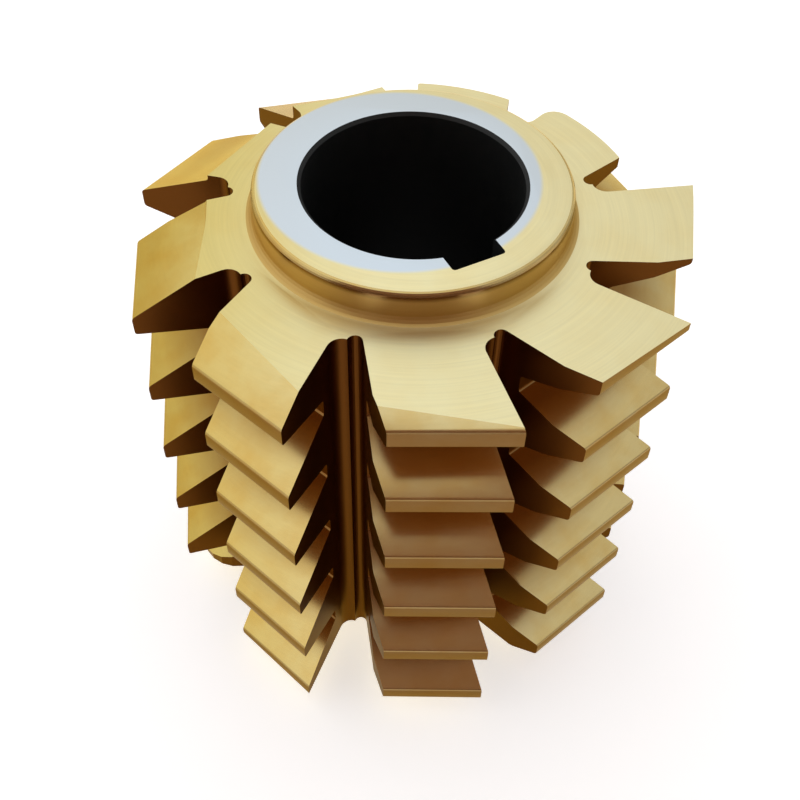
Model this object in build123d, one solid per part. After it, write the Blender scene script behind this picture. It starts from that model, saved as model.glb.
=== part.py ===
from build123d import *
import math
import os

# Gear hob: one bar of tool steel, turned, threaded, gashed, relief ground and coated.
# It stands on its lower hub face, with the bore along +Z and the keyway towards +X.

# Turned blank
outside_diameter = 85.0
overall_length = 85.0
hub_diameter = 46.0
hub_height = 5.0
hub_edge_round = 0.9
hub_base_fillet = 1.5

# Bore and driving keyway
bore_diameter = 32.0
bore_edge_chamfer = 0.5
keyway_width = 8.0
keyway_depth = 2.8
keyway_corner_radius = 0.5

# Cutting thread: right hand, one start, straight rack flanks
module = 4.5
pressure_angle = 20.0
addendum_per_module = 1.25
dedendum_per_module = 1.25
tip_corner_chamfer = 0.35
lowest_tooth_height = 7.8

# Gashes, placed from the tooth roots, and the relief behind each cutting face
gash_count = 9
first_face_angle = -9.1
relief_angle = 19.6
gash_floor_below_root = 3.85
gash_floor_radius = 2.0
slot_floor_below_root = 4.95
slot_offset = 2.95
slot_radius = 1.05
heel_angle = 31.0
heel_break_above_root = 3.25
heel_outer_angle = 42.0

# Thin thread ends ground back to rounded stubs, column by column, away from each end of the thread
upper_end_column = 3
upper_stub_height = 2.95
lower_end_column = 7
lower_stub_height = 7.75
stub_step = 2.5
stub_corner_share = 0.9

# Sizes that follow from the ones above
outside_radius = outside_diameter / 2
hub_radius = hub_diameter / 2
bore_radius = bore_diameter / 2
tooth_depth = (addendum_per_module + dedendum_per_module) * module
root_radius = outside_radius - tooth_depth
pitch_diameter = outside_diameter - 2 * addendum_per_module * module
lead_angle = math.asin(module / pitch_diameter)
axial_pitch = math.pi * module / math.cos(lead_angle)
flank_slope = math.tan(math.radians(pressure_angle))
half_tip = axial_pitch / 4 - addendum_per_module * module * flank_slope
half_root = half_tip + tooth_depth * flank_slope
gash_pitch = 360 / gash_count
lower_end = hub_height
upper_end = overall_length - hub_height
face_width = upper_end - lower_end

# Each column of teeth reaches a little past its gash walls, so that the gash cuts form the walls
ahead_of_face = 1.0
overshoot = module
floor_centre_height = root_radius - gash_floor_below_root + gash_floor_radius
slot_centre_height = root_radius - slot_floor_below_root + slot_radius
heel_break_height = root_radius + heel_break_above_root
heel_direction = (math.cos(math.radians(heel_angle)), math.sin(math.radians(heel_angle)))
heel_foot = (
    slot_centre_height - slot_radius * heel_direction[1],
    slot_offset + slot_radius * heel_direction[0],
)
heel_foot_angle = math.degrees(math.atan2(heel_foot[1], heel_foot[0]))
behind_face = gash_pitch - heel_foot_angle
core_radius = root_radius * math.cos(math.radians(relief_angle))
teeth_inner_radius = root_radius - gash_floor_below_root


def rise_at(angle):
    """How far the thread has climbed at this angle from the keyway."""
    return axial_pitch * angle / 360


def rack_section():
    """Section of one column of teeth in the XZ plane, longer than the thread at both ends."""
    lowest = lowest_tooth_height - 2 * axial_pitch
    rows = math.ceil((upper_end + axial_pitch - lowest) / axial_pitch)
    outline = [(teeth_inner_radius, lowest - half_root)]
    for row in range(rows):
        middle = lowest + row * axial_pitch
        outline.append((root_radius, middle - half_root))
        outline.append((outside_radius, middle - half_tip))
        outline.append((outside_radius, middle + half_tip))
        outline.append((root_radius, middle + half_root))
    outline.append((teeth_inner_radius, outline[-1][1]))
    section = make_face(Polyline(*outline, close=True))
    tips = section.vertices().group_by(Axis.X)[-1]
    return Plane.XZ * chamfer(tips, tip_corner_chamfer)


def tooth_column():
    """One column of straight-relieved teeth, its cutting face in the XZ plane."""
    grind = Vector(-math.tan(math.radians(relief_angle)), -1, -math.tan(lead_angle))
    reach = ahead_of_face + root_radius * math.sin(math.radians(behind_face))
    section = Pos(*(grind * -ahead_of_face)) * rack_section()
    return extrude(section, reach * grind.length, dir=grind)


def gash():
    """One straight gash, from its cutting face on +X to the heel of the next column."""
    floor_centre = (floor_centre_height, gash_floor_radius)
    slot_centre = (slot_centre_height, slot_offset)
    rise_to_break = (heel_break_height - heel_foot[0]) / heel_direction[0]
    heel_break = (heel_break_height, heel_foot[1] + rise_to_break * heel_direction[1])
    mouth_radius = outside_radius + overshoot
    mouth_rise = (mouth_radius - heel_break_height) * math.tan(math.radians(heel_outer_angle))
    opening = make_face(
        Polyline(
            (mouth_radius, 0),
            (floor_centre[0], 0),
            floor_centre,
            slot_centre,
            heel_foot,
            heel_break,
            (mouth_radius, heel_break[1] + mouth_rise),
            close=True,
        )
    )
    floor = Pos(*floor_centre) * Circle(gash_floor_radius)
    slot = Pos(*slot_centre) * Circle(slot_radius)
    return extrude(opening + floor + slot, overall_length)


def turned_core():
    """The drum under the teeth and a hub at each end, with rounded rims and filleted feet."""
    corner = (Align.MIN, Align.MIN)
    drum = Pos(0, lower_end) * Rectangle(core_radius, face_width, align=corner)
    hub = Rectangle(hub_radius, overall_length, align=corner)
    hub = fillet(hub.vertices().group_by(Axis.X)[-1], hub_edge_round)
    foot = Pos(hub_radius, upper_end) * Rectangle(hub_base_fillet, hub_base_fillet, align=corner)
    foot -= Pos(hub_radius + hub_base_fillet, upper_end + hub_base_fillet) * Circle(hub_base_fillet)
    half = drum + hub + foot + Pos(Y=overall_length) * mirror(foot, Plane.XZ)
    return revolve(Plane.XZ * half, Axis.Z)


def bore_and_keyway():
    """The arbor bore with chamfered mouths, and the keyway that the arbor's key drives."""
    mouth_radius = bore_radius + bore_edge_chamfer
    lower = (Align.CENTER, Align.CENTER, Align.MIN)
    upper = (Align.CENTER, Align.CENTER, Align.MAX)
    bore = extrude(Circle(bore_radius), overall_length)
    bore += Cone(mouth_radius, bore_radius, bore_edge_chamfer, align=lower)
    bore += Pos(Z=overall_length) * Cone(bore_radius, mouth_radius, bore_edge_chamfer, align=upper)
    floor = bore_radius + keyway_depth
    slot = Rectangle(floor, keyway_width, align=(Align.MIN, Align.CENTER))
    corners = slot.vertices().filter_by(lambda v: v.X > bore_radius)
    return bore + extrude(fillet(corners, keyway_corner_radius), overall_length)


def face_angle(column):
    """Angle of a column's cutting face from the keyway."""
    return first_face_angle + column * gash_pitch


def wedge(from_angle, to_angle):
    """Plan of a wedge about the axis, wider than the hob."""
    reach = 2 * outside_diameter
    corners = [(0, 0)]
    for angle in (from_angle, to_angle):
        corners.append((reach * math.cos(math.radians(angle)), reach * math.sin(math.radians(angle))))
    return make_face(Polyline(*corners, close=True))


def ground_back(column, stub_height, groove_height, end_height):
    """What is ground off one thin thread end, down to a rounded stub, from its groove to the end face."""
    radius = root_radius + stub_height
    face = face_angle(column)
    swath = wedge(face - behind_face, face + heel_foot_angle)
    stub = Circle(radius) & wedge(face - behind_face, face)
    leading = (radius * math.cos(math.radians(face)), radius * math.sin(math.radians(face)))
    stub = fillet(stub.vertices().sort_by_distance(leading)[:1], stub_corner_share * stub_height)
    drum = Circle(root_radius) & swath
    taken = (Circle(outside_radius + overshoot) & swath) - (drum + stub)
    return Pos(Z=groove_height) * extrude(taken, end_height - groove_height, dir=(0, 0, 1))


def upper_end_cuts():
    """The cuts at the upper end face, up the thread from its last whole tooth."""
    cuts = []
    column = upper_end_column
    stub_height = upper_stub_height
    while stub_height > 0:
        middle = lowest_tooth_height + rise_at(face_angle(column) - behind_face / 2)
        row = math.floor((upper_end + half_root - middle) / axial_pitch)
        groove_height = middle + (row - 1 / 2) * axial_pitch
        cuts.append(ground_back(column, stub_height, groove_height, upper_end))
        column += 1
        stub_height -= stub_step
    return cuts


def lower_end_cuts():
    """The cuts at the lower end face, down the thread from its last whole tooth."""
    cuts = []
    column = lower_end_column
    stub_height = lower_stub_height
    while stub_height > 0:
        middle = lowest_tooth_height + rise_at(face_angle(column) - behind_face / 2)
        row = math.ceil((lower_end - half_root - middle) / axial_pitch)
        groove_height = middle + (row + 1 / 2) * axial_pitch
        cuts.append(ground_back(column, stub_height, groove_height, lower_end))
        column -= 1
        stub_height -= stub_step
    return cuts


# One solid: drum and hubs, nine columns of teeth between the end faces, then every cut
column_of_teeth = tooth_column()
face_slab = Pos(Z=lower_end) * extrude(Circle(outside_diameter), face_width)
teeth = []
gashes = []
for index in range(gash_count):
    turn = face_angle(index)
    teeth.append(Pos(Z=rise_at(turn)) * Rot(Z=turn) * column_of_teeth & face_slab)
    gashes.append(Rot(Z=turn) * gash())
gear_hob = turned_core() + teeth
gear_hob -= gashes
gear_hob -= upper_end_cuts() + lower_end_cuts()
gear_hob -= bore_and_keyway()

os.makedirs("parts", exist_ok=True)
export_step(gear_hob, "parts/gear_hob.step")
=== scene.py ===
import math

import bmesh
import bpy
from mathutils import Matrix, Vector


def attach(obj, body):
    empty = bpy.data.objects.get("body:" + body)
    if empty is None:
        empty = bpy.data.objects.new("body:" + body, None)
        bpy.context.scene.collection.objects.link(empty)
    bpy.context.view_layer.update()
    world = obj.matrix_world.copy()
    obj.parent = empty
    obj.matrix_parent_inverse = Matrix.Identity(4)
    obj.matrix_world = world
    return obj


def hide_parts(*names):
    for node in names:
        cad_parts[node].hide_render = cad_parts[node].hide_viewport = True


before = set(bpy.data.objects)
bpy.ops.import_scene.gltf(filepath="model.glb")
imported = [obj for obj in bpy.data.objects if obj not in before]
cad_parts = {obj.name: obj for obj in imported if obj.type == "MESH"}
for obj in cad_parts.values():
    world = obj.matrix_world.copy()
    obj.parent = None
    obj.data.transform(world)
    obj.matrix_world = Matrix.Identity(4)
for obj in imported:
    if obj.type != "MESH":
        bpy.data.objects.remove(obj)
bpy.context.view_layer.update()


# Turned blank: a drum with a short hub at each end, one bar of high-speed steel.
# It is turned on the lathe, with rounded hub rims and filleted hub feet.
MM = 0.001
LENGTH = 85.0
HUB_RADIUS = 23.0
HUB_HEIGHT = 5.0
RIM_ROUND = 0.9
FOOT_FILLET = 1.5
LOWER_END = HUB_HEIGHT
UPPER_END = LENGTH - HUB_HEIGHT
OUTSIDE_RADIUS = 42.5
ROOT_RADIUS = 31.25
RELIEF = math.radians(19.6)
DRUM_RADIUS = ROOT_RADIUS * math.cos(RELIEF)
TURNED_SIDES = 144
FILLET_STEPS = 5


def arc(centre, radius, start, end, steps):
    """Points of an arc from one angle to another, in degrees."""
    points = []
    for step in range(steps + 1):
        angle = math.radians(start + (end - start) * step / steps)
        points.append((centre[0] + radius * math.cos(angle), centre[1] + radius * math.sin(angle)))
    return points


def rounded(corners, radii, steps):
    """An outline whose corners are rounded to the given radii; a radius of nothing keeps the corner."""
    points = []
    for i, here in enumerate(corners):
        if not radii[i]:
            points.append(here)
            continue
        here = Vector(here)
        back = (Vector(corners[i - 1]) - here).normalized()
        ahead = (Vector(corners[i + 1]) - here).normalized()
        half = back.angle(ahead) / 2
        centre = here + (back + ahead).normalized() * radii[i] / math.sin(half)
        start = here + back * radii[i] / math.tan(half) - centre
        end = here + ahead * radii[i] / math.tan(half) - centre
        swing = math.degrees(start.angle_signed(end))
        first = math.degrees(math.atan2(start.y, start.x))
        points += arc(centre, radii[i], first, first - swing, steps)
    return points


def solid(name, verts, faces):
    """A closed mesh in metres from corners in millimetres, with its faces outward."""
    shape = bmesh.new()
    corners = [shape.verts.new((x * MM, y * MM, z * MM)) for x, y, z in verts]
    for face in faces:
        shape.faces.new([corners[i] for i in face])
    bmesh.ops.recalc_face_normals(shape, faces=shape.faces)
    mesh = bpy.data.meshes.new(name)
    shape.to_mesh(mesh)
    shape.free()
    piece = bpy.data.objects.new(name, mesh)
    bpy.context.scene.collection.objects.link(piece)
    return piece


def turned(name, outline, sides):
    """A solid of revolution about Z; the outline starts and ends on the axis."""
    verts = [(0, 0, outline[0][1]), (0, 0, outline[-1][1])]
    rings = outline[1:-1]
    for side in range(sides):
        angle = math.tau * side / sides
        for radius, height in rings:
            verts.append((radius * math.cos(angle), radius * math.sin(angle), height))
    faces = []
    count = len(rings)
    for side in range(sides):
        here = 2 + side * count
        there = 2 + (side + 1) % sides * count
        faces.append((0, here, there))
        faces.append((1, there + count - 1, here + count - 1))
        for ring in range(count - 1):
            faces.append((here + ring, here + ring + 1, there + ring + 1, there + ring))
    return solid(name, verts, faces)


blank_corners = [
    (0, 0),
    (HUB_RADIUS, 0),
    (HUB_RADIUS, LOWER_END),
    (DRUM_RADIUS, LOWER_END),
    (DRUM_RADIUS, UPPER_END),
    (HUB_RADIUS, UPPER_END),
    (HUB_RADIUS, LENGTH),
    (0, LENGTH),
]
blank_rounds = [0, RIM_ROUND, FOOT_FILLET, 0, 0, FOOT_FILLET, RIM_ROUND, 0]
blank = turned("turned_blank", rounded(blank_corners, blank_rounds, FILLET_STEPS), TURNED_SIDES)


# Teeth: one right-hand helix of straight-flanked rack teeth, in nine columns.
# Each tooth is relief ground in straight passes, so its lands and flanks are flat
# and fall away behind the cutting edge.
MODULE = 4.5
TIP_HEIGHT = 1.25 * MODULE
DEPTH = OUTSIDE_RADIUS - ROOT_RADIUS
FLANK = math.tan(math.radians(20.0))
LEAD = math.asin(MODULE / (2 * OUTSIDE_RADIUS - 2 * TIP_HEIGHT))
PITCH = math.pi * MODULE / math.cos(LEAD)
HALF_TIP = PITCH / 4 - TIP_HEIGHT * FLANK
HALF_ROOT = HALF_TIP + DEPTH * FLANK
TIP_ROUND = 0.65
ROOT_ROUND = 0.6
TOOTH_ROUND_STEPS = 4
LOWEST_TOOTH = 7.8
FIRST_ROW = -2
LAST_ROW = 5
FIRST_FACE = -9.1
COLUMNS = 9
COLUMN_ANGLE = 360.0 / COLUMNS
RACK_BACK = DRUM_RADIUS - 2.0
AHEAD_OF_FACE = 1.0
BEHIND_FACE = 16.5

rack = [(RACK_BACK, LOWEST_TOOTH + FIRST_ROW * PITCH - HALF_ROOT)]
rack_rounds = [0]
for row in range(FIRST_ROW, LAST_ROW + 1):
    tooth_middle = LOWEST_TOOTH + row * PITCH
    rack += [
        (ROOT_RADIUS, tooth_middle - HALF_ROOT),
        (OUTSIDE_RADIUS, tooth_middle - HALF_TIP),
        (OUTSIDE_RADIUS, tooth_middle + HALF_TIP),
        (ROOT_RADIUS, tooth_middle + HALF_ROOT),
    ]
    rack_rounds += [ROOT_ROUND, TIP_ROUND, TIP_ROUND, ROOT_ROUND]
rack.append((RACK_BACK, rack[-1][1]))
rack_rounds.append(0)
rack = rounded(rack, rack_rounds, TOOTH_ROUND_STEPS)

column_verts = []
for behind in (-AHEAD_OF_FACE, BEHIND_FACE):
    inward = behind * math.tan(RELIEF)
    down = behind * math.tan(LEAD)
    column_verts += [(radius - inward, -behind, height - down) for radius, height in rack]
count = len(rack)
column_faces = [list(range(count)), list(range(count, 2 * count))]
for point in range(count):
    after = (point + 1) % count
    column_faces.append((point, after, count + after, count + point))
column = solid("tooth_column", column_verts, column_faces)


# Gashes: nine straight grooves milled along the axis, which give the teeth their cutting faces.
# Each has a radial cutting face, a floor of two round lobes and a heel wall in two slopes.
FLOOR_CENTRE = (29.4, 2.0)
FLOOR_ROUND = 2.0
SLOT_CENTRE = (27.35, 2.95)
SLOT_ROUND = 1.05
HEEL_ANGLE = 31.0
HEEL_FOOT = (26.81, 3.85)
HEEL_BREAK_RADIUS = 34.5
HEEL_RISE = (HEEL_BREAK_RADIUS - HEEL_FOOT[0]) * math.tan(math.radians(HEEL_ANGLE))
HEEL_BREAK = (HEEL_BREAK_RADIUS, HEEL_FOOT[1] + HEEL_RISE)
OUTER_SLOPE = math.tan(math.radians(42.0))
GASH_MOUTH = OUTSIDE_RADIUS + MODULE
PAST_ENDS = 1.0


def prism(name, plans):
    """Upright prisms, each given as its plan, its lower height and its upper height."""
    verts, faces = [], []
    for plan, low, high in plans:
        first = len(verts)
        count = len(plan)
        verts += [(x, y, low) for x, y in plan] + [(x, y, high) for x, y in plan]
        faces.append([first + i for i in range(count)])
        faces.append([first + count + i for i in range(count)])
        for i in range(count):
            after = (i + 1) % count
            faces.append((first + i, first + after, first + count + after, first + count + i))
    return solid(name, verts, faces)


lobes_apart = Vector(SLOT_CENTRE) - Vector(FLOOR_CENTRE)
lobes_angle = math.degrees(math.atan2(lobes_apart.y, lobes_apart.x))
lobes_gap = lobes_apart.length
floor_part = (lobes_gap ** 2 + FLOOR_ROUND ** 2 - SLOT_ROUND ** 2) / (2 * lobes_gap)
floor_swing = math.degrees(math.acos(floor_part / FLOOR_ROUND))
slot_swing = math.degrees(math.acos((lobes_gap - floor_part) / SLOT_ROUND))
gash_plan = [(GASH_MOUTH, 0)]
gash_plan += arc(FLOOR_CENTRE, FLOOR_ROUND, 270, lobes_angle + floor_swing, 8)
gash_plan += arc(SLOT_CENTRE, SLOT_ROUND, lobes_angle + 180 - slot_swing, 90 + HEEL_ANGLE, 10)[1:]
gash_plan += [HEEL_BREAK, (GASH_MOUTH, HEEL_BREAK[1] + (GASH_MOUTH - HEEL_BREAK_RADIUS) * OUTER_SLOPE)]
gash = prism("gash", [(gash_plan, -PAST_ENDS, LENGTH + PAST_ENDS)])


# Thread ends: the thin first and last teeth, ground back by hand so that no feather edge is left.
# Each cut takes all outside a radius, with a rounded corner towards the cutting face,
# and each next column is cut lower until nothing of the tooth is left.
UPPER_STUB_COLUMN = 3
UPPER_STUB_RADIUS = 34.2
LOWER_STUB_COLUMN = 7
LOWER_STUB_RADIUS = 39.0
STUB_STEP = 2.5
STUB_CORNER_SHARE = 0.9
HALF_TOOTH_ANGLE = 15.9
CUT_AHEAD = 7.0
CUT_BEHIND = 31.0

end_cuts = []
for stub_column, stub_radius, way, end in (
    (UPPER_STUB_COLUMN, UPPER_STUB_RADIUS, 1, UPPER_END),
    (LOWER_STUB_COLUMN, LOWER_STUB_RADIUS, -1, LOWER_END),
):
    while stub_radius > ROOT_RADIUS:
        face = FIRST_FACE + COLUMN_ANGLE * stub_column
        tooth_middle = LOWEST_TOOTH + PITCH * (face - HALF_TOOTH_ANGLE) / 360
        rows = (end + way * HALF_ROOT - tooth_middle) / PITCH
        row = math.floor(rows) if way > 0 else math.ceil(rows)
        groove = tooth_middle + (row - way / 2) * PITCH
        corner = STUB_CORNER_SHARE * (stub_radius - ROOT_RADIUS)
        pivot_radius = stub_radius - corner
        pivot_angle = face - math.degrees(math.asin(corner / pivot_radius))
        pivot_turn = math.radians(pivot_angle)
        pivot = (pivot_radius * math.cos(pivot_turn), pivot_radius * math.sin(pivot_turn))
        plan = arc((0, 0), ROOT_RADIUS, face + CUT_AHEAD, face + 0.5, 3)
        plan += arc(pivot, corner, face + 90, pivot_angle, 6)
        plan += arc((0, 0), stub_radius, pivot_angle - 1, face - CUT_BEHIND, 8)
        plan += arc((0, 0), GASH_MOUTH, face - CUT_BEHIND, face + CUT_AHEAD, 8)
        end_cuts.append((plan, min(groove, end - PAST_ENDS), max(groove, end + PAST_ENDS)))
        stub_column += way
        stub_radius -= STUB_STEP
thread_ends = prism("thread_ends", end_cuts)


# Bore and keyway: a ground hole for a 32 mm arbor, chamfered at both mouths.
# An 8 mm keyway runs its whole length, with small rounds in its corners.
BORE_RADIUS = 16.0
BORE_CHAMFER = 0.5
KEY_HALF = 4.0
KEY_FLOOR = 18.8
KEY_CORNER = 0.5
KEY_INSIDE = 8.0
BORE_MOUTH = BORE_RADIUS + BORE_CHAMFER
bore_outline = [
    (0, -PAST_ENDS),
    (BORE_MOUTH + PAST_ENDS, -PAST_ENDS),
    (BORE_RADIUS, BORE_CHAMFER),
    (BORE_RADIUS, LENGTH - BORE_CHAMFER),
    (BORE_MOUTH + PAST_ENDS, LENGTH + PAST_ENDS),
    (0, LENGTH + PAST_ENDS),
]
bore = turned("bore", bore_outline, TURNED_SIDES)
key_corners = [
    (KEY_INSIDE, -KEY_HALF),
    (KEY_FLOOR, -KEY_HALF),
    (KEY_FLOOR, KEY_HALF),
    (KEY_INSIDE, KEY_HALF),
]
key_plan = rounded(key_corners, [0, KEY_CORNER, KEY_CORNER, 0], 4)
keyway = prism("keyway", [(key_plan, -PAST_ENDS, LENGTH + PAST_ENDS)])


# Hob body: the columns of teeth are set round the blank along the helix, then every cut is made.
# The tree repeats the one column and the one gash, and joins and cuts the solids.
def node(tree, kind, inputs=(), **settings):
    """Adds a node, sets its options, and sets or links each of its inputs."""
    new = tree.nodes.new(kind)
    for name, value in settings.items():
        setattr(new, name, value)
    for key, value in dict(inputs).items():
        for one in value if isinstance(value, list) else [value]:
            if isinstance(one, bpy.types.NodeSocket):
                tree.links.new(one, new.inputs[key])
            else:
                new.inputs[key].default_value = one
    return new


SLAB_RADIUS = 60.0
SLAB_SIDES = 24

body_tree = bpy.data.node_groups.new("hob_body", "GeometryNodeTree")
body_inputs = {}
for name, kind in (
    ("Geometry", "Geometry"), ("Columns", "Int"), ("First Angle", "Float"), ("First Rise", "Float"),
    ("Rise", "Float"), ("Face Width", "Float"), ("Lower End", "Float"), ("Blank", "Object"),
    ("Gash", "Object"), ("Thread Ends", "Object"), ("Bore", "Object"), ("Keyway", "Object"),
    ("Coating", "Material"),
):
    body_inputs[name] = body_tree.interface.new_socket(
        name, in_out="INPUT", socket_type="NodeSocket" + kind)
body_tree.interface.new_socket("Geometry", in_out="OUTPUT", socket_type="NodeSocketGeometry")
given = node(body_tree, "NodeGroupInput").outputs

# Where each column and each gash goes: one turn of the helix, in equal steps
first_place = node(body_tree, "ShaderNodeCombineXYZ", {"Z": given["First Rise"]})
next_place = node(body_tree, "ShaderNodeCombineXYZ", {"Z": given["Rise"]})
column_places = node(body_tree, "GeometryNodeMeshLine", {
    "Count": given["Columns"], "Start Location": first_place.outputs[0],
    "Offset": next_place.outputs[0]})
gash_places = node(body_tree, "GeometryNodeMeshLine", {
    "Count": given["Columns"], "Offset": (0, 0, 0)})
index = node(body_tree, "GeometryNodeInputIndex")
share = node(body_tree, "ShaderNodeMath", {
    0: index.outputs[0], 1: given["Columns"]}, operation="DIVIDE")
turn = node(body_tree, "ShaderNodeMath", {
    0: share.outputs[0], 1: math.tau, 2: given["First Angle"]}, operation="MULTIPLY_ADD")
spin = node(body_tree, "ShaderNodeCombineXYZ", {"Z": turn.outputs[0]})
spin = node(body_tree, "FunctionNodeEulerToRotation", {0: spin.outputs[0]}).outputs[0]

# The columns, cut off flat at both end faces by the slab between them
columns = node(body_tree, "GeometryNodeInstanceOnPoints", {
    "Points": column_places.outputs[0], "Instance": given["Geometry"], "Rotation": spin})
columns = node(body_tree, "GeometryNodeRealizeInstances", {0: columns.outputs[0]})
half_width = node(body_tree, "ShaderNodeMath", {
    0: given["Face Width"], 1: 0.5, 2: given["Lower End"]}, operation="MULTIPLY_ADD")
slab_place = node(body_tree, "ShaderNodeCombineXYZ", {"Z": half_width.outputs[0]})
slab = node(body_tree, "GeometryNodeMeshCylinder", {
    "Vertices": SLAB_SIDES, "Radius": SLAB_RADIUS * MM, "Depth": given["Face Width"]})
slab = node(body_tree, "GeometryNodeTransform", {
    "Geometry": slab.outputs[0], "Translation": slab_place.outputs[0]})
faced = node(body_tree, "GeometryNodeMeshBoolean", {
    "Mesh 2": [columns.outputs[0], slab.outputs[0]]}, operation="INTERSECT", solver="MANIFOLD")

# The blank takes the columns, and then each cut in turn
stock = {}
for name in ("Blank", "Gash", "Thread Ends", "Bore", "Keyway"):
    stock[name] = node(body_tree, "GeometryNodeObjectInfo", {"Object": given[name]}).outputs["Geometry"]
gashes = node(body_tree, "GeometryNodeInstanceOnPoints", {
    "Points": gash_places.outputs[0], "Instance": stock["Gash"], "Rotation": spin})
gashes = node(body_tree, "GeometryNodeRealizeInstances", {0: gashes.outputs[0]})
body = node(body_tree, "GeometryNodeMeshBoolean", {
    "Mesh 2": [stock["Blank"], faced.outputs[0]]}, operation="UNION", solver="MANIFOLD")
for cut in (gashes.outputs[0], stock["Thread Ends"], stock["Bore"], stock["Keyway"]):
    body = node(body_tree, "GeometryNodeMeshBoolean", {
        "Mesh 1": body.outputs[0], "Mesh 2": cut}, operation="DIFFERENCE", solver="MANIFOLD")
body = node(body_tree, "GeometryNodeRealizeInstances", {0: body.outputs[0]})
body = node(body_tree, "GeometryNodeSetMaterial", {
    "Geometry": body.outputs[0], "Material": given["Coating"]})
node(body_tree, "NodeGroupOutput", {0: body.outputs[0]})


# Coating: titanium nitride laid in a vacuum on relief-ground high-speed steel.
# It keeps the turning lines under it: pale satin gold on turned faces, deeper gold on ground flanks,
# bronze brown in the gashes, which is painted shade. A spacer left a ring of each hub face bare.
def colour(code):
    """Linear colour of an sRGB hex value."""
    channels = [int(code[i:i + 2], 16) / 255 for i in (1, 3, 5)]
    return (*(c / 12.92 if c <= 0.04045 else ((c + 0.055) / 1.055) ** 2.4 for c in channels), 1.0)


TURNED_GOLD = colour("#f0e4b1")
FLANK_GOLD = colour("#dac488")
# painted shade of the steep tooth lands
LAND_PAINTED_SHADE = colour("#80603a")
# painted shade and light: the deeper yellow of one side of the tool
SHADED_SIDE_GOLD = colour("#e8dda4")
CLOUD_GOLD = colour("#f2d488")
# painted shade of the hub side walls
HUB_SIDE_PAINTED_SHADE = colour("#c8a662")
# painted shade under the teeth and in their roots
UNDERSIDE_PAINTED_SHADE = colour("#75481f")
# painted shade of the gash walls and floors
GASH_PAINTED_SHADE = colour("#5e3614")
BARE_STEEL = colour("#d4dde3")
GLANCING_GOLD = colour("#ecdcb8")
HALF_LENGTH = LENGTH / 2
# The two colours that go into a Mix node, and the one that comes out
BELOW, ABOVE, MIXED = 6, 7, 2

coating = bpy.data.materials.new("titanium_nitride_on_ground_steel")
coating.use_nodes = True
nodes = coating.node_tree
nodes.nodes.clear()
place = node(nodes, "ShaderNodeTexCoord")
millimetres = node(nodes, "ShaderNodeVectorMath", {
    0: place.outputs["Object"], "Scale": 1 / MM}, operation="SCALE")
at = node(nodes, "ShaderNodeSeparateXYZ", {0: millimetres.outputs[0]})
flat = node(nodes, "ShaderNodeCombineXYZ", {"X": at.outputs["X"], "Y": at.outputs["Y"]})
from_axis = node(nodes, "ShaderNodeVectorMath", {0: flat.outputs[0]}, operation="LENGTH").outputs["Value"]
around = node(nodes, "ShaderNodeMath", {
    0: at.outputs["Y"], 1: at.outputs["X"]}, operation="ARCTAN2").outputs[0]
from_middle = node(nodes, "ShaderNodeMath", {0: at.outputs["Z"], 1: HALF_LENGTH}, operation="SUBTRACT")
from_middle = node(nodes, "ShaderNodeMath", {0: from_middle.outputs[0]}, operation="ABSOLUTE").outputs[0]
facing = node(nodes, "ShaderNodeSeparateXYZ", {0: place.outputs["Normal"]})
upright = node(nodes, "ShaderNodeMath", {0: facing.outputs["Z"]}, operation="ABSOLUTE").outputs[0]

# Turned faces lie flat across the axis; every other face is steeper
turned_face = node(nodes, "ShaderNodeMapRange", {
    "Value": upright, "From Min": 0.95, "From Max": 0.98}).outputs[0]
steep = node(nodes, "ShaderNodeMapRange", {
    "Value": upright, "From Min": 0.97, "From Max": 0.94}).outputs[0]

# Lay of the lathe: lines round the axis about 0.1 mm apart, drawn 0.4 mm apart to show
LAY_SPACING = 0.4
LAY_DRIFT = 0.6
drift = node(nodes, "ShaderNodeMath", {0: around, 1: LAY_DRIFT}, operation="MULTIPLY")
lay_place = node(nodes, "ShaderNodeCombineXYZ", {
    "X": from_axis, "Y": at.outputs["Z"], "Z": drift.outputs[0]})
lay = node(nodes, "ShaderNodeTexNoise", {
    "Vector": lay_place.outputs[0], "Scale": 1 / LAY_SPACING, "Detail": 3, "Roughness": 0.6}).outputs["Fac"]

# Gash walls: their normals point round the axis. They take the painted shade of the gashes
minus_y = node(nodes, "ShaderNodeMath", {0: at.outputs["Y"], 1: -1.0}, operation="MULTIPLY")
across = node(nodes, "ShaderNodeCombineXYZ", {"X": minus_y.outputs[0], "Y": at.outputs["X"]})
across = node(nodes, "ShaderNodeVectorMath", {0: across.outputs[0]}, operation="NORMALIZE")
swing = node(nodes, "ShaderNodeVectorMath", {
    0: across.outputs[0], 1: place.outputs["Normal"]}, operation="DOT_PRODUCT")
swing = node(nodes, "ShaderNodeMath", {0: swing.outputs["Value"]}, operation="ABSOLUTE")
wall = node(nodes, "ShaderNodeMapRange", {
    "Value": swing.outputs[0], "From Min": 0.45, "From Max": 0.7}, interpolation_type="SMOOTHSTEP")

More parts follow.
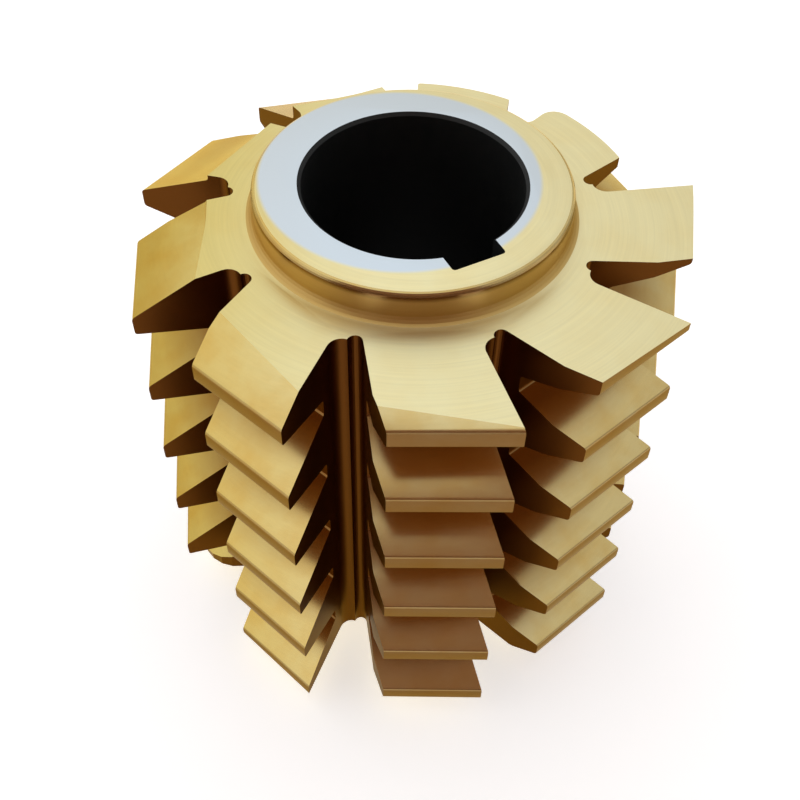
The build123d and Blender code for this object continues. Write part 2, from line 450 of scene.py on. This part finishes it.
# Gash floors: upright faces nearer the axis than the tooth roots, and outside the hub's foot, take the same
# painted shade
FLOOR_RIM, FLOOR_DEEP = 31.2, 30.2
FOOT_EDGE, FOOT_CLEAR = 24.6, 25.2
sheer = node(nodes, "ShaderNodeMapRange", {"Value": upright, "From Min": 0.6, "From Max": 0.4})
sunk = node(nodes, "ShaderNodeMapRange", {
    "Value": from_axis, "From Min": FLOOR_RIM, "From Max": FLOOR_DEEP})
past_foot = node(nodes, "ShaderNodeMapRange", {
    "Value": from_axis, "From Min": FOOT_EDGE, "From Max": FOOT_CLEAR})
deep = node(nodes, "ShaderNodeMath", {0: sheer.outputs[0], 1: sunk.outputs[0]}, operation="MULTIPLY")
deep = node(nodes, "ShaderNodeMath", {0: deep.outputs[0], 1: past_foot.outputs[0]}, operation="MULTIPLY")
wall = node(nodes, "ShaderNodeMath", {
    0: wall.outputs[0], 1: deep.outputs[0]}, operation="MAXIMUM").outputs[0]

# Undersides and roots of the teeth: painted shade, bronze brown under the teeth and darker towards the roots
# between them.
# Next to the end faces the roots stand open, and are as gold as the rest
ROOT_SHADE_FROM, ROOT_SHADE_TO = 39.0, 32.0
ROOT_SHADE = 0.8
OPEN_BEYOND, CLOSED_WITHIN = 35.0, 32.5
under = node(nodes, "ShaderNodeMapRange", {
    "Value": facing.outputs["Z"], "From Min": -0.7, "From Max": -0.85})
between = node(nodes, "ShaderNodeMapRange", {
    "Value": from_middle, "From Min": OPEN_BEYOND, "From Max": CLOSED_WITHIN})
root_shade = node(nodes, "ShaderNodeMapRange", {
    "Value": from_axis, "From Min": ROOT_SHADE_FROM, "From Max": ROOT_SHADE_TO, "To Max": ROOT_SHADE})
root_shade = node(nodes, "ShaderNodeMath", {0: root_shade.outputs[0], 1: between.outputs[0]}, operation="MULTIPLY")
under = node(nodes, "ShaderNodeMath", {0: under.outputs[0], 1: root_shade.outputs[0]}, operation="MAXIMUM")
under = node(nodes, "ShaderNodeMath", {0: under.outputs[0], 1: steep}, operation="MULTIPLY")

# Hub sides: the wall of each hub and its foot, below the rim, painted a darker brass as painted shade
HUB_SIDE_EDGE, HUB_SIDE_FULL = 25.0, 23.6
RIM_BARE, RIM_COVERED = 0.7, 1.5
hub_side = node(nodes, "ShaderNodeMapRange", {
    "Value": from_axis, "From Min": HUB_SIDE_EDGE, "From Max": HUB_SIDE_FULL})
below_rim = node(nodes, "ShaderNodeMapRange", {
    "Value": from_middle, "From Min": HALF_LENGTH - RIM_BARE, "From Max": HALF_LENGTH - RIM_COVERED})
hub_side = node(nodes, "ShaderNodeMath", {0: hub_side.outputs[0], 1: steep}, operation="MULTIPLY")
hub_side = node(nodes, "ShaderNodeMath", {
    0: hub_side.outputs[0], 1: below_rim.outputs[0]}, operation="MULTIPLY").outputs[0]

# Gold: turned faces, ground flanks and tooth lands differ, by how far each is tilted.
# Painted shade and light: one side of the tool is made deeper yellow and the other paler, from 4 mm off the
# axis outwards
SHADED_SIDE_WAY = (-0.5, -0.866, 0)
SHADED_SIDE_FROM, SHADED_SIDE_TO = 4.3, 36.0
tones = node(nodes, "ShaderNodeValToRGB", {"Fac": upright})
tones.color_ramp.elements[0].position = 0.2
# painted shade: the steep tooth lands are given a dark bronze
tones.color_ramp.elements[0].color = LAND_PAINTED_SHADE
tones.color_ramp.elements[1].position = 0.97
tones.color_ramp.elements[1].color = TURNED_GOLD
tones.color_ramp.elements.new(0.9).color = FLANK_GOLD
shaded_side = node(nodes, "ShaderNodeVectorMath", {0: flat.outputs[0], 1: SHADED_SIDE_WAY}, operation="DOT_PRODUCT")
shaded_side = node(nodes, "ShaderNodeMapRange", {
    "Value": shaded_side.outputs["Value"], "From Min": SHADED_SIDE_FROM, "From Max": SHADED_SIDE_TO})
gold = node(nodes, "ShaderNodeMix", {
    "Factor": shaded_side.outputs[0], BELOW: tones.outputs[0], ABOVE: SHADED_SIDE_GOLD},
    data_type="RGBA", blend_type="MULTIPLY")

# Clouds: soft stains about 6 mm wide, fainter on turned faces
CLOUD_WIDTH = 6.25
clouds = node(nodes, "ShaderNodeTexNoise", {
    "Vector": millimetres.outputs[0], "Scale": 1 / CLOUD_WIDTH, "Detail": 4, "Roughness": 0.55})
cloud = node(nodes, "ShaderNodeMapRange", {
    "Value": clouds.outputs["Fac"], "From Min": 0.4, "From Max": 0.75, "To Max": 0.5})
calm = node(nodes, "ShaderNodeMapRange", {"Value": turned_face, "To Min": 1.0, "To Max": 0.3})
cloud = node(nodes, "ShaderNodeMath", {0: cloud.outputs[0], 1: calm.outputs[0]}, operation="MULTIPLY")
gold = node(nodes, "ShaderNodeMix", {
    "Factor": cloud.outputs[0], BELOW: gold.outputs[MIXED], ABOVE: CLOUD_GOLD},
    data_type="RGBA", blend_type="MULTIPLY")

# Painted shade on the hub sides, under the teeth and in the gashes, and the light and dark of the turning
# lines
for place_share, tone in (
    (hub_side, HUB_SIDE_PAINTED_SHADE), (under.outputs[0], UNDERSIDE_PAINTED_SHADE), (wall, GASH_PAINTED_SHADE),
):
    gold = node(nodes, "ShaderNodeMix", {
        "Factor": place_share, BELOW: gold.outputs[MIXED], ABOVE: tone}, data_type="RGBA")
faint = node(nodes, "ShaderNodeMapRange", {"Value": turned_face, "To Min": 0.985, "To Max": 0.945})
streak = node(nodes, "ShaderNodeMapRange", {
    "Value": lay, "From Min": 0.3, "From Max": 0.7, "To Min": faint.outputs[0], "To Max": 1.03})
gold = node(nodes, "ShaderNodeVectorMath", {
    0: gold.outputs[MIXED], "Scale": streak.outputs[0]}, operation="SCALE")

# Bare ring on the hub faces: a little off the axis, its edge softened by the coating that crept under
RING_CENTRE = (-2.0, -1.15, 0)
RING_EDGE, RING_FULL = 20.6, 19.8
FACE_NEAR, FACE_FULL = 0.6, 0.2
off_ring = node(nodes, "ShaderNodeVectorMath", {0: flat.outputs[0], 1: RING_CENTRE}, operation="DISTANCE")
bare = node(nodes, "ShaderNodeMapRange", {
    "Value": off_ring.outputs["Value"], "From Min": RING_EDGE, "From Max": RING_FULL},
    interpolation_type="SMOOTHSTEP")
on_hub = node(nodes, "ShaderNodeMapRange", {
    "Value": from_middle, "From Min": HALF_LENGTH - FACE_NEAR, "From Max": HALF_LENGTH - FACE_FULL})
bare = node(nodes, "ShaderNodeMath", {0: bare.outputs[0], 1: on_hub.outputs[0]}, operation="MULTIPLY")
skin = node(nodes, "ShaderNodeMix", {
    "Factor": bare.outputs[0], BELOW: gold.outputs[0], ABOVE: BARE_STEEL}, data_type="RGBA")

# Gloss: ground flanks are the smoothest, turned faces satin, gash walls duller, hub sides dull
FLANK_ROUGHNESS, TURNED_ROUGHNESS = 0.19, 0.36
LAY_ROUGHNESS = 0.03
WALL_ROUGHNESS = 0.15
HUB_SIDE_ROUGHNESS = 0.28
LAY_HEIGHT = 0.02
satin = node(nodes, "ShaderNodeMapRange", {
    "Value": turned_face, "To Min": FLANK_ROUGHNESS, "To Max": TURNED_ROUGHNESS})
for place_share, added in ((lay, LAY_ROUGHNESS), (wall, WALL_ROUGHNESS), (hub_side, HUB_SIDE_ROUGHNESS)):
    satin = node(nodes, "ShaderNodeMath", {
        0: place_share, 1: added, 2: satin.outputs[0]}, operation="MULTIPLY_ADD")
ridges = node(nodes, "ShaderNodeMath", {0: lay, 1: turned_face}, operation="MULTIPLY")
ridged = node(nodes, "ShaderNodeBump", {
    "Height": ridges.outputs[0], "Strength": 0.03, "Distance": LAY_HEIGHT * MM})
metal = node(nodes, "ShaderNodeBsdfPrincipled", {
    "Base Color": skin.outputs[MIXED], "Metallic": 1.0, "Roughness": satin.outputs[0],
    "Specular Tint": GLANCING_GOLD, "Normal": ridged.outputs[0]})
node(nodes, "ShaderNodeOutputMaterial", {"Surface": metal.outputs[0]})

making = column.modifiers.new("hob_body", "NODES")
making.node_group = body_tree
for name, value in (
    ("Columns", COLUMNS),
    ("First Angle", math.radians(FIRST_FACE)),
    ("First Rise", PITCH * FIRST_FACE / 360 * MM),
    ("Rise", PITCH / COLUMNS * MM),
    ("Face Width", (UPPER_END - LOWER_END) * MM),
    ("Lower End", LOWER_END * MM),
    ("Blank", blank),
    ("Gash", gash),
    ("Thread Ends", thread_ends),
    ("Bore", bore),
    ("Keyway", keyway),
    ("Coating", coating),
):
    making[body_inputs[name].identifier] = value
made = column.evaluated_get(bpy.context.evaluated_depsgraph_get())
hob = bpy.data.objects.new("coated_gear_hob", bpy.data.meshes.new_from_object(made))
bpy.context.scene.collection.objects.link(hob)
for rough in (column, blank, gash, thread_ends, bore, keyway):
    bpy.data.objects.remove(rough)


# Bore wall: painted near black and dull, as painted shade for the dark inside of the hole.
# It is the same solid, so only the faces of the bore and keyway take it.
# Every edge of the hob is then broken a little, as it leaves the grinder.
SPECK_WIDTH = 2.0
# painted shade: the bore and keyway walls are made near black
bore_shade = bpy.data.materials.new("painted_bore_shade")
bore_shade.use_nodes = True
nodes = bore_shade.node_tree
nodes.nodes.clear()
place = node(nodes, "ShaderNodeTexCoord")
specks = node(nodes, "ShaderNodeTexNoise", {
    "Vector": place.outputs["Object"], "Scale": 1 / (SPECK_WIDTH * MM), "Detail": 3})
dull = node(nodes, "ShaderNodeMapRange", {"Value": specks.outputs["Fac"], "To Min": 0.45, "To Max": 0.65})
tint = node(nodes, "ShaderNodeMix", {
    "Factor": specks.outputs["Fac"], BELOW: colour("#0e1010"), ABOVE: colour("#1a1c1b")}, data_type="RGBA")
black = node(nodes, "ShaderNodeBsdfPrincipled", {
    "Base Color": tint.outputs[MIXED], "Metallic": 0.3, "Roughness": dull.outputs[0]})
node(nodes, "ShaderNodeOutputMaterial", {"Surface": black.outputs[0]})

MERGE_WITHIN = 0.002
FLAT_WITHIN = math.radians(0.3)
SMOOTH_WITHIN = math.radians(14)
BROKEN_EDGE = 0.12
BROKEN_ABOVE = math.radians(30)
KEY_MARGIN = 0.05
hob.data.materials.clear()
hob.data.materials.append(coating)
hob.data.materials.append(bore_shade)
shape = bmesh.new()
shape.from_mesh(hob.data)
bmesh.ops.remove_doubles(shape, verts=shape.verts, dist=MERGE_WITHIN * MM)
bmesh.ops.dissolve_limit(shape, angle_limit=FLAT_WITHIN, verts=shape.verts, edges=shape.edges)
for face in shape.faces:
    centre = face.calc_center_median() / MM
    in_bore = math.hypot(centre.x, centre.y) < BORE_MOUTH
    in_key = BORE_RADIUS - 1 < centre.x < KEY_FLOOR + KEY_MARGIN and abs(centre.y) < KEY_HALF + KEY_MARGIN
    face.material_index = 1 if (in_bore or in_key) and abs(face.normal.z) < 0.8 else 0
    face.smooth = True
for edge in shape.edges:
    edge.smooth = edge.is_manifold and edge.calc_face_angle(0) < SMOOTH_WITHIN
shape.to_mesh(hob.data)
shape.free()
broken = hob.modifiers.new("broken_edges", "BEVEL")
broken.width = BROKEN_EDGE * MM
broken.segments = 2
broken.limit_method = "ANGLE"
broken.angle_limit = BROKEN_ABOVE
broken.harden_normals = True
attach(hob, "root")
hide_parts("gear_hob")


# Stage: a plain pale floor and soft light from the left, the back and the right.
# A clay-coloured card stands behind the camera, where a photographer would.
FLOOR_HALF = 4.0
FLOOR_GLOW = 0.54
sheet = bpy.data.meshes.new("floor")
sheet.from_pydata([
    (-FLOOR_HALF, -FLOOR_HALF, 0), (FLOOR_HALF, -FLOOR_HALF, 0),
    (FLOOR_HALF, FLOOR_HALF, 0), (-FLOOR_HALF, FLOOR_HALF, 0)], [], [(0, 1, 2, 3)])
floor = bpy.data.objects.new("floor", sheet)
bpy.context.scene.collection.objects.link(floor)
paper = bpy.data.materials.new("white_paper")
paper.use_nodes = True
nodes = paper.node_tree
nodes.nodes.clear()
matte = node(nodes, "ShaderNodeBsdfDiffuse", {"Color": colour("#f2f2f2")})
glow = node(nodes, "ShaderNodeEmission", {"Color": colour("#ffffff"), "Strength": FLOOR_GLOW})
path = node(nodes, "ShaderNodeLightPath")
seen = node(nodes, "ShaderNodeMath", {
    0: path.outputs["Is Camera Ray"], 1: path.outputs["Is Glossy Ray"]}, operation="MAXIMUM")
seen = node(nodes, "ShaderNodeMath", {
    0: seen.outputs[0], 1: path.outputs["Is Transmission Ray"]}, operation="MAXIMUM")
dark = node(nodes, "ShaderNodeEmission", {"Color": colour("#000000"), "Strength": 0.0})
lit = node(nodes, "ShaderNodeMixShader", {0: seen.outputs[0], 1: dark.outputs[0], 2: glow.outputs[0]})
white = node(nodes, "ShaderNodeAddShader", {0: matte.outputs[0], 1: lit.outputs[0]})
node(nodes, "ShaderNodeOutputMaterial", {"Surface": white.outputs[0]})
sheet.materials.append(paper)

# Air: white all round, a little dimmer to the right of the camera and along the horizon
RIGHTWARD = (0.469, 0.883, 0)
LEFT_LEVEL, RIGHT_LEVEL = 1.02, 0.62
HORIZON_LEVEL = 0.8
studio = bpy.data.worlds.new("studio")
studio.use_nodes = True
nodes = studio.node_tree
nodes.nodes.clear()
way = node(nodes, "ShaderNodeTexCoord")
rightward = node(nodes, "ShaderNodeVectorMath", {
    0: way.outputs["Generated"], 1: RIGHTWARD}, operation="DOT_PRODUCT")
level = node(nodes, "ShaderNodeMapRange", {
    "Value": rightward.outputs["Value"], "From Min": -0.5, "From Max": 1.0,
    "To Min": LEFT_LEVEL, "To Max": RIGHT_LEVEL})
height = node(nodes, "ShaderNodeSeparateXYZ", {0: way.outputs["Generated"]})
overhead = node(nodes, "ShaderNodeMapRange", {
    "Value": height.outputs["Z"], "From Min": 0.0, "From Max": 0.45, "To Min": HORIZON_LEVEL, "To Max": 1.0})
level = node(nodes, "ShaderNodeMath", {0: level.outputs[0], 1: overhead.outputs[0]}, operation="MULTIPLY")
air = node(nodes, "ShaderNodeBackground", {"Color": colour("#ffffff"), "Strength": level.outputs[0]})
node(nodes, "ShaderNodeOutputWorld", {"Surface": air.outputs[0]})
bpy.context.scene.world = studio

# Softboxes: degrees round from the camera's side, height, distance and size in metres, watts, tint
CAMERA_SIDE = math.radians(-28.8)
LAMP_AIM = Vector((0, 0, 0.05))
for name, degrees, up, away, size, watts, tint in (
    ("left_softbox", -88, 0.30, 0.45, 0.40, 0.05, "#ffffff"),
    ("back_softbox", 180, 0.55, 0.34, 0.22, 0.06, "#c3e1ff"),
    ("right_softbox", 95, 0.35, 0.55, 0.35, 0.03, "#ffffff"),
):
    lamp = bpy.data.lights.new(name, "AREA")
    lamp.size = size
    lamp.energy = watts
    lamp.color = colour(tint)[:3]
    box = bpy.data.objects.new(name, lamp)
    side = CAMERA_SIDE + math.radians(degrees)
    box.location = (away * math.cos(side), away * math.sin(side), up)
    box.rotation_euler = (LAMP_AIM - box.location).to_track_quat("-Z", "Y").to_euler()
    bpy.context.scene.collection.objects.link(box)

# Card: a piece of a sphere about the hob, set out by its angles
CARD_AWAY = 0.6
CARD_CELLS = 8
CARD_LOW = 4.0
CARD_ROW = 8.45
CARD_HALF_WIDTH = 50.0
card_verts, card_faces = [], []
for row in range(CARD_CELLS + 1):
    lift = math.radians(CARD_LOW + CARD_ROW * row)
    for cell in range(CARD_CELLS + 1):
        side = CAMERA_SIDE + math.radians(2 * CARD_HALF_WIDTH * cell / CARD_CELLS - CARD_HALF_WIDTH)
        out = CARD_AWAY * math.cos(lift)
        card_verts.append((out * math.cos(side), out * math.sin(side), CARD_AWAY * math.sin(lift)))
for row in range(CARD_CELLS):
    for cell in range(CARD_CELLS):
        low = (CARD_CELLS + 1) * row + cell
        high = low + CARD_CELLS + 1
        card_faces.append((low, low + 1, high + 1, high))
card_mesh = bpy.data.meshes.new("clay_card")
card_mesh.from_pydata(card_verts, [], card_faces)
card = bpy.data.objects.new("clay_card", card_mesh)
bpy.context.scene.collection.objects.link(card)
card.visible_camera = False
felt = bpy.data.materials.new("clay_felt")
felt.use_nodes = True
nodes = felt.node_tree
nodes.nodes.clear()
cloth = node(nodes, "ShaderNodeBsdfDiffuse", {"Color": colour("#b08c80")})
node(nodes, "ShaderNodeOutputMaterial", {"Surface": cloth.outputs[0]})
card_mesh.materials.append(felt)


# Camera: above and in front, with the frame of the photograph.
# Its place is given from the middle of the upper hub face, in millimetres.
SENSOR = 36.0
FOCAL_PIXELS = 1023
IMAGE_PIXELS = 800
TURN = math.radians(62.0)
LOOK_DOWN = math.radians(45.52)
ROLL = math.radians(1.41)
STAND_LEFT = 1.5
STAND_BACK = 113.6
STAND_ABOVE = 91.3
lens = bpy.data.cameras.new("camera")
lens.sensor_width = SENSOR
lens.lens = FOCAL_PIXELS / IMAGE_PIXELS * SENSOR
lens.shift_y = -0.125
lens.clip_start = 0.01
camera = bpy.data.objects.new("camera", lens)
bpy.context.scene.collection.objects.link(camera)
bpy.context.scene.camera = camera
right = Vector((math.cos(TURN), math.sin(TURN), 0))
backward = Vector((math.sin(TURN), -math.cos(TURN), 0))
ahead = -backward * math.cos(LOOK_DOWN) - Vector((0, 0, math.sin(LOOK_DOWN)))
upward = right.cross(ahead)
tilted_right = right * math.cos(ROLL) + upward * math.sin(ROLL)
tilted_up = upward * math.cos(ROLL) - right * math.sin(ROLL)
stand = backward * STAND_BACK - right * STAND_LEFT + Vector((0, 0, LENGTH + STAND_ABOVE))
pose = Matrix((tilted_right, tilted_up, -ahead)).transposed().to_4x4()
pose.translation = stand * MM
camera.matrix_world = pose
bpy.context.scene.view_settings.view_transform = "Standard"
